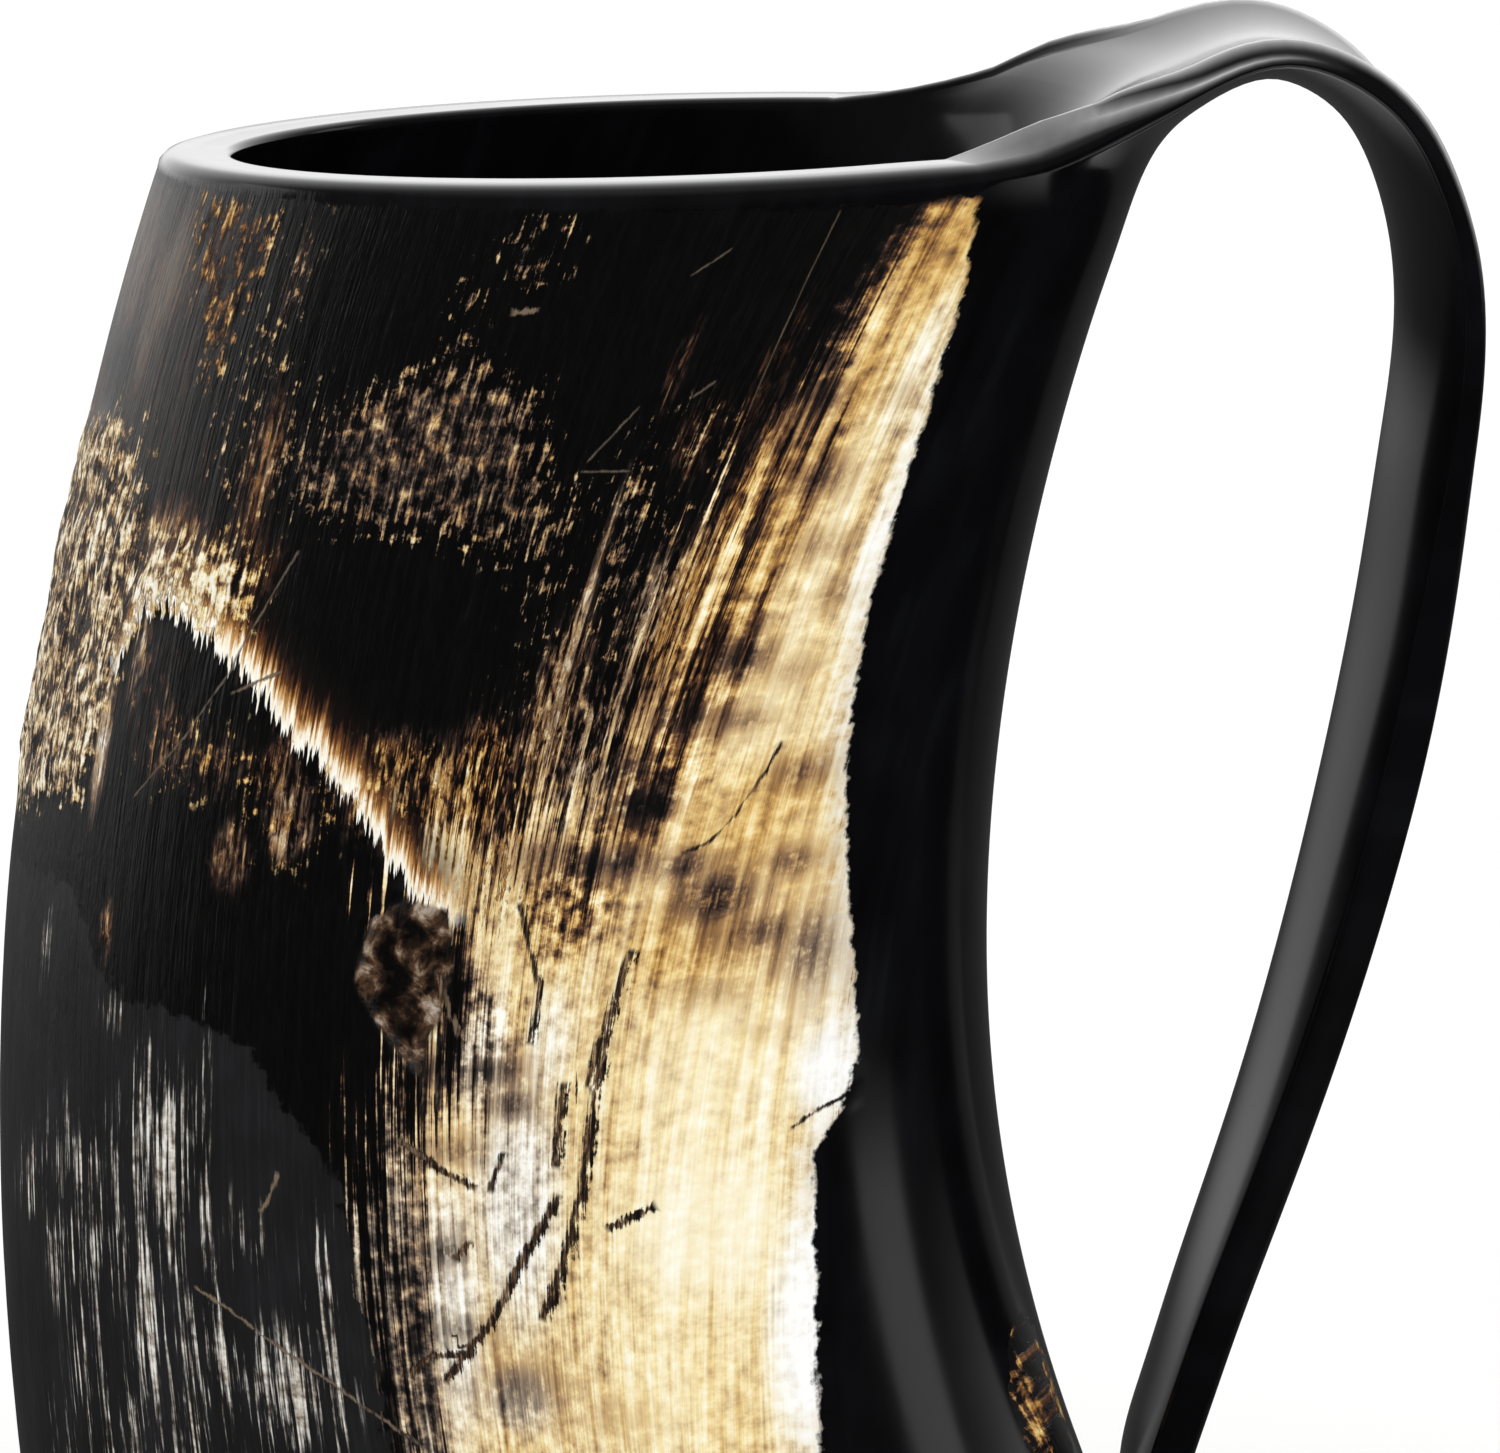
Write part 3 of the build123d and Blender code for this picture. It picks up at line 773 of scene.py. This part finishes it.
mesh = bpy.data.meshes.new("horn_visual")
mesh.from_pydata((points * MM).tolist(), [], faces.tolist())
mesh.polygons.foreach_set("use_smooth", np.ones(len(mesh.polygons), bool))
mesh.update()
fields = {
    "polish": polish, "light": light, "bark": bark, "gray": gray, "scab": scab, "lip": lip, "lip_reach": lip_reach,
    "dark_tone": dark_tone, "dark_warmth": dark_warmth, "dark_contrast": dark_contrast, "pale_tone": pale_tone,
    "pale_warmth": pale_warmth, "pale_contrast": pale_contrast, "fleck": fleck, "warm": warm, "streaks": streaks,
    "smudge": smudge, "relief": relief, "outer": is_outer, "grain": grain,
    "unrolled": np.column_stack([xy, np.zeros(len(xy))]), "marks_0": mark_layers[0], "marks_1": mark_layers[1],
}
for name, values in fields.items():
    kind, key = ("FLOAT", "value") if values.ndim == 1 else ("FLOAT_VECTOR", "vector")
    layer = mesh.attributes.new(name, kind, "POINT")
    layer.data.foreach_set(key, np.ascontiguousarray(values, dtype=np.float32).ravel())
horn = bpy.data.objects.new("horn_visual", mesh)
bpy.context.scene.collection.objects.link(horn)
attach(horn, "root")
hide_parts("horn")
print("horn: %d vertices, %d triangles" % (len(points), 2 * len(faces)))

# -------- node helpers


def colour(code):
    """A hex colour as linear RGBA."""
    parts = [int(code[i:i + 2], 16) / 255 for i in (0, 2, 4)]
    return tuple(p / 12.92 if p <= 0.04045 else ((p + 0.055) / 1.055) ** 2.4 for p in parts) + (1.0,)


class Field:
    """A float socket that takes part in sums and products."""

    def __init__(self, graph, socket):
        self.graph, self.socket = graph, socket

    def __add__(self, other):
        return self.graph.math("ADD", self, other)

    def __sub__(self, other):
        return self.graph.math("SUBTRACT", self, other)

    def __rsub__(self, other):
        return self.graph.math("SUBTRACT", other, self)

    def __mul__(self, other):
        return self.graph.math("MULTIPLY", self, other)

    def __truediv__(self, other):
        return self.graph.math("DIVIDE", self, other)

    __radd__ = __add__
    __rmul__ = __mul__


class Graph:
    """Adds nodes to one tree. vector reads an attribute in millimetres and place the object's own metres, and each
    multiplies by a scale along each axis."""

    def __init__(self, tree):
        self.tree = tree

    def wire(self, socket, value):
        if isinstance(value, Field):
            value = value.socket
        if isinstance(value, bpy.types.NodeSocket):
            self.tree.links.new(value, socket)
        else:
            socket.default_value = value

    def node(self, kind, inputs=(), **settings):
        node = self.tree.nodes.new(kind)
        for key, value in settings.items():
            setattr(node, key, value)
        for key, value in dict(inputs).items():
            self.wire(node.inputs[key], value)
        return node

    def field(self, kind, inputs=(), output=0, **settings):
        return Field(self, self.node(kind, inputs, **settings).outputs[output])

    def parts(self, vector):
        return [Field(self, part) for part in self.node("ShaderNodeSeparateXYZ", {0: vector}).outputs]

    def math(self, operation, *values, clamp=False):
        return self.field("ShaderNodeMath", enumerate(values), operation=operation, use_clamp=clamp)

    def clamped(self, value):
        return self.math("ADD", value, 0.0, clamp=True)

    def attribute(self, name):
        return self.field("ShaderNodeAttribute", output="Fac", attribute_name=name)

    def vector_attribute(self, name):
        return self.node("ShaderNodeAttribute", attribute_name=name).outputs["Vector"]

    def vector(self, name, scale):
        inputs = {0: self.vector_attribute(name), 1: scale}
        return self.node("ShaderNodeVectorMath", inputs, operation="MULTIPLY").outputs[0]

    def place(self, *scale):
        source = self.node("ShaderNodeTexCoord").outputs["Object"]
        return self.node("ShaderNodeMapping", {"Vector": source, "Scale": scale}).outputs[0]

    def noise(self, vector, detail, rough, distort=0.0):
        inputs = {"Vector": vector, "Scale": 1.0, "Detail": detail, "Roughness": rough, "Distortion": distort}
        return self.field("ShaderNodeTexNoise", inputs, "Fac")

    def span(self, value, low, high, start=0.0, end=1.0):
        inputs = {"Value": value, "From Min": low, "From Max": high, "To Min": start, "To Max": end}
        return self.field("ShaderNodeMapRange", inputs, interpolation_type="SMOOTHSTEP")

    def ramp(self, value, stops):
        node = self.node("ShaderNodeValToRGB", {"Fac": value})
        elements = node.color_ramp.elements
        elements[0].position, elements[0].color = stops[0][0], colour(stops[0][1])
        elements[1].position, elements[1].color = stops[-1][0], colour(stops[-1][1])
        for position, code in stops[1:-1]:
            elements.new(position).color = colour(code)
        return node.outputs["Color"]

    def mix(self, factor, low, high):
        return self.node("ShaderNodeMix", {0: factor, 6: low, 7: high}, data_type="RGBA").outputs[2]

    def blend(self, factor, low, high):
        return self.field("ShaderNodeMix", {0: factor, 2: low, 3: high}, data_type="FLOAT")


class MaterialGraph(Graph):
    """Adds nodes to a new material, ahead of its Principled shader."""

    def __init__(self, name):
        self.material = bpy.data.materials.new(name)
        self.material.use_nodes = True
        super().__init__(self.material.node_tree)
        self.shader = self.tree.nodes["Principled BSDF"]

    def surface(self, base_colour, rough, height, depth, strength):
        """Wires the surface's colour, roughness and bump, whose depth is in metres."""
        self.wire(self.shader.inputs["Base Color"], base_colour)
        self.wire(self.shader.inputs["Roughness"], rough)
        bump = self.node("ShaderNodeBump", {"Height": height, "Distance": depth, "Strength": strength})
        self.wire(self.shader.inputs["Normal"], bump.outputs[0])

    def put_on(self, *objects):
        for obj in objects:
            obj.data.materials.clear()
            obj.data.materials.append(self.material)


# -------- horn material


GRAY_RAMP = [
    (0.0, "010101"), (0.12, "0a0808"), (0.25, "29241f"), (0.38, "564d44"), (0.5, "84796c"), (0.62, "b0a594"),
    (0.74, "d5cdbf"), (0.86, "f0ece4"), (1.0, "ffffff")]
GOLD_RAMP = [
    (0.0, "020101"), (0.12, "0c0502"), (0.25, "341807"), (0.38, "6d4116"), (0.5, "a8762f"), (0.62, "d6a95a"),
    (0.74, "eed088"), (0.86, "fbebb8"), (1.0, "fffdec")]


def make_horn_material():
    """Lays the horn's zones over one another: tones, gray, streaks, lip, bark, scab, marks and polish. Its weights
    and limits were set one by one."""
    g = MaterialGraph("horn_material")
    at = g.attribute

    def grain_noise(across, along, *settings):
        return g.noise(g.vector("grain", (across, across, along)), *settings) - 0.5

    long_streak = grain_noise(0.8, 0.03, 4, 0.62)
    fine_streak = grain_noise(3.4, 0.10, 3, 0.6)
    jag = grain_noise(2.6, 0.06, 3, 0.62)
    flake = grain_noise(1.5, 0.5, 5, 0.64, 0.6)
    cloud = grain_noise(0.16, 0.10, 4, 0.6)
    mottle = grain_noise(0.55, 0.75, 4, 0.62)
    height = g.parts(g.vector("unrolled", (1, 1, 1)))[1]
    relief = at("relief")

    # Tone: dark horn and pale horn, each with its own strokes, meeting along a ragged border.
    pale_grain = fine_streak * 1.4 + long_streak * 2.4 + mottle * 2.4
    dark_grain = flake * 3.2 + fine_streak * 2.4 + long_streak * 1.4
    soften = g.span(height, 147, 118, 0.12, 1.0)
    pale = g.span(at("light") + (jag * 26 + long_streak * 18) * soften + mottle * 6, -2.4, 2.4)
    dark_value = at("dark_tone") + at("dark_contrast") * dark_grain
    beside = g.span(at("polish") + mottle * 8, -3.2, 0.2) * g.span(height, 146, 100)
    pale_value = at("pale_tone") + at("pale_contrast") * pale_grain * (1 - beside * 0.6)
    value = g.blend(pale, dark_value, pale_value)
    warmth = g.blend(pale, at("dark_warmth"), at("pale_warmth")) + mottle * 1.2
    warmth = g.clamped(warmth)
    smudge = at("smudge") * g.span(mottle * 1.6 + fine_streak * 0.8, -0.32, 0.10) * pale
    value = value - smudge * 0.60
    warmth = warmth * (1 - smudge * 0.75)
    # Beside the polished part the pale horn whitens.
    beside = beside * pale
    value = value + beside * 0.06
    warmth = warmth * (1 - beside * 0.75)
    surface_colour = g.mix(warmth, g.ramp(value, GRAY_RAMP), g.ramp(value, GOLD_RAMP))

    def lay(share, over):
        nonlocal surface_colour
        surface_colour = g.mix(share, surface_colour, over)

    # Gray zone, worn smooth.
    gray = g.span(at("gray") + flake * 1.6 + mottle * 3.5 + cloud * 2, -0.3, 0.3)
    gray_colour = g.ramp(cloud * 0.8 + fine_streak * 0.5 + 0.5, [
        (0.3, "121213"), (0.55, "1b1b1d"), (0.8, "26262a")])
    lay(gray, gray_colour)
    # Pale streaks over the gray.
    streak_field = at("streaks")
    streak = g.span(streak_field + fine_streak * 2.6 + long_streak * 2.4 + flake * 0.8, 0.38, 0.95)
    streak = streak * g.span(streak_field, 0.03, 0.2)
    streak_colour = g.ramp(mottle * 0.9 + fine_streak * 0.6 + 0.5, [
        (0.3, "54432f"), (0.42, "857868"), (0.52, "b9b1a5"), (0.65, "e6e2da")])
    lay(streak, streak_colour)
    # The lip: a pale jagged line that fades upwards through gold and brown.
    lip_height = at("lip") + jag * 8 + fine_streak * 3
    lip_mask = g.span(lip_height, -0.2, 0.15) * at("lip_reach") * g.span(at("lip"), 9, 2)
    lip_colour = g.ramp(lip_height / 13 + flake * 0.25, [
        (0.0, "fffdf4"), (0.10, "f9eed4"), (0.17, "c9934a"), (0.25, "6d3b10"), (0.37, "1f0d04"), (1.0, "050302")])
    lay(lip_mask, lip_colour)
    # Bark and chips. The relief terms in the flake mask and the bark tone make them darker in the hollows and
    # lighter on the raised parts. This is painted shade and painted highlight over the bark's own flecked colour.
    density = at("fleck")
    flake_mask = g.span(density + flake * 1.5 + mottle * 1.5 + fine_streak * 1.1 + relief * 0.4, 0.38, 0.60)
    flake_mask = flake_mask * g.span(density, 0.02, 0.18)
    bark_tone_and_shade = flake * 2.6 + mottle * 1.9 + relief * 0.6 + fine_streak * 1.6
    bark_contrast = g.span(at("bark"), -2, 2, 0.66, 1.0)
    bark_tone_and_shade = bark_tone_and_shade * bark_contrast + g.span(at("bark"), -2, 2, 0.24, 0.41)
    bark_warmth = g.clamped(at("warm") + mottle * 1.6 + 0.50)
    bark_colour_and_shade = g.mix(bark_warmth, g.ramp(bark_tone_and_shade, GRAY_RAMP), g.ramp(bark_tone_and_shade, GOLD_RAMP))
    lay(flake_mask, bark_colour_and_shade)
    # Scab: a crust of its own dark brown, made lighter towards its rim as a painted highlight on the raised edge.
    scab = g.span(at("scab") + flake * 1.0, -0.15, 0.25)
    crust = g.noise(g.vector("unrolled", (0.42, 0.32, 1)), 5, 0.62, 0.3)
    crust_colour_and_highlight = g.ramp(crust + g.span(at("scab"), 2.6, 0.3, -0.03, 0.03), [
        (0.42, "050302"), (0.49, "24150a"), (0.55, "4e3520"), (0.60, "7f6a55"), (0.68, "bdb0a2")])
    lay(scab, crust_colour_and_highlight)
    # Gouges and scratches: dark in pale horn and brown in dark horn.
    marks = 0.0
    for name in ("marks_0", "marks_1"):
        aside, inside, width = g.parts(g.vector_attribute(name))
        gap = g.math("ABSOLUTE", aside + (mottle + flake) * width * 3.0) + (flake + fine_streak) * width * 3.0
        marks = g.math("MAXIMUM", marks, g.span(gap - width * 0.95, 0.08, -0.12) * g.span(inside, 0.0, 0.5))
    gouge_colour = g.ramp(flake * 1.6 + fine_streak * 0.8 + 0.5, [
        (0.3, "0e0804"), (0.48, "35210f"), (0.6, "6b4c2e"), (0.76, "a58765")])
    mark_colour = g.mix(pale, colour("75634f"), gouge_colour)
    lay(marks, mark_colour)
    # Worked and polished horn.
    shine = g.span(at("polish") + jag * 0.5 + mottle * 2.2 + flake * 0.6, -0.3, 0.3)
    worked = g.math("MAXIMUM", shine, 1 - at("outer"))
    polished = g.ramp(cloud * 0.9 + long_streak * 0.4 + 0.5, [(0.3, "050506"), (0.55, "0a0a0c"), (0.8, "121317")])
    lay(worked, polished)

    rough_raw = g.blend(flake_mask, g.blend(pale, 0.34, 0.42), 0.60)
    rough_raw = g.blend(scab, rough_raw, 0.3)
    rough = g.blend(worked, rough_raw, 0.14 + cloud * 0.08)
    texture = fine_streak * 0.35 + long_streak * 0.3 + flake * (flake_mask * 2.5 + 0.25 - pale * 0.17)
    texture = texture + crust * scab * 1.2 - marks * 0.9
    g.surface(surface_colour, rough, texture * (1 - worked), 0.0003, 0.8)
    return g


make_horn_material().put_on(horn)

# -------- board, seal and brads

wood = MaterialGraph("board_wood")
rings = wood.noise(wood.place(220, 900, 40), 3, 0.55, 0.4)
pores = wood.noise(wood.place(500, 4200, 300), 2, 0.6)
wood_tone = rings * 0.75 + pores * 0.25
wood_colour = wood.ramp(wood_tone, [(0.3, "6d4526"), (0.5, "95653a"), (0.65, "b58450"), (0.85, "c99d68")])
wood.surface(wood_colour, wood.span(wood_tone, 0.3, 0.7, 0.62, 0.48), wood_tone, 0.0003, 0.6)
wood.put_on(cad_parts["base_board"])

resin = MaterialGraph("seal_resin")
haze = resin.noise(resin.place(160, 160, 160), 3, 0.55)
resin_colour = resin.ramp(haze, [(0.35, "120a06"), (0.6, "25150b"), (0.8, "3b2211")])
resin.surface(resin_colour, resin.span(haze, 0.3, 0.7, 0.14, 0.26), haze, 0.0004, 0.5)
resin.put_on(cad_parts["base_seal"])

brass = MaterialGraph("brass")
tarnish = brass.noise(brass.place(900, 900, 900), 4, 0.6)
brass_colour = brass.ramp(tarnish, [(0.35, "5d4320"), (0.5, "9b7434"), (0.7, "c9a354")])
brass.surface(brass_colour, brass.span(tarnish, 0.35, 0.7, 0.5, 0.24), tarnish, 0.0001, 0.5)
brass.shader.inputs["Metallic"].default_value = 1.0
brass.put_on(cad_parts["base_brads"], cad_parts["handle_brads"])

# -------- floor, light and camera

FLOOR_HALF = 4.0
floor_mesh = bpy.data.meshes.new("floor")
floor_corners = [(x * FLOOR_HALF, y * FLOOR_HALF, 0) for x, y in ((-1, -1), (1, -1), (1, 1), (-1, 1))]
floor_mesh.from_pydata(floor_corners, [], [(0, 1, 2, 3)])
floor = bpy.data.objects.new("floor", floor_mesh)
bpy.context.scene.collection.objects.link(floor)
floor_paint = MaterialGraph("floor_paint")
for key, value in (("Base Color", (0.97, 0.97, 0.97, 1)), ("Roughness", 0.9), ("Specular IOR Level", 0.0)):
    floor_paint.shader.inputs[key].default_value = value
floor_paint.put_on(floor)
floor.visible_glossy = False

scene = bpy.context.scene
world = bpy.data.worlds.new("studio")
world.use_nodes = True
sky = Graph(world.node_tree)
background = sky.tree.nodes["Background"]
_, to_back, upward = sky.parts(sky.node("ShaderNodeTexCoord").outputs["Generated"])
# Reflections see a bright back and top and a dim front. Everything else sees an even white room.
studio = sky.span(to_back, -0.2, 0.9, 0.03, 1.0) * sky.span(upward, -0.16, 0.16, 0.06, 1.9)
studio = studio + sky.span(upward, 0.55, 1.0, 0.0, 0.35) + sky.span(upward, -0.45, -0.8, 0.0, 0.8)
is_glossy = sky.node("ShaderNodeLightPath").outputs["Is Glossy Ray"]
sky.wire(background.inputs["Color"], sky.blend(is_glossy, 1.06, studio))
scene.world = world


def panel(name, place, target, width, height, radiance):
    """A soft rectangular light that faces target and shows in reflections but not to the camera."""
    light_data = bpy.data.lights.new(name, "AREA")
    light_data.shape = "RECTANGLE"
    light_data.size, light_data.size_y = width, height
    light_data.energy = radiance * math.pi * width * height
    lamp = bpy.data.objects.new(name, light_data)
    lamp.location = place
    lamp.rotation_euler = (Vector(target) - Vector(place)).to_track_quat("-Z", "Y").to_euler()
    lamp.visible_camera = False
    scene.collection.objects.link(lamp)


MIDDLE = (0.005, 0.0, 0.09)
panel("left_panel", (-1.3, 0.1, 0.45), MIDDLE, 0.5, 1.0, 0.9)
panel("right_panel", (1.25, -0.25, 0.40), MIDDLE, 0.35, 1.1, 0.9)

camera_data = bpy.data.cameras.new("camera")
camera_data.lens = 217.4
camera_data.sensor_fit = "HORIZONTAL"
camera_data.sensor_width = 36.0
camera_data.clip_start, camera_data.clip_end = 0.05, 30.0
camera = bpy.data.objects.new("camera", camera_data)
camera.location = (-0.04606, -0.79805, 0.253)
aim = Vector((0.00975, 0.0, 0.0965))
camera.rotation_euler = (aim - camera.location).to_track_quat("-Z", "Y").to_euler()
scene.collection.objects.link(camera)
scene.camera = camera
scene.view_settings.view_transform = "Standard"
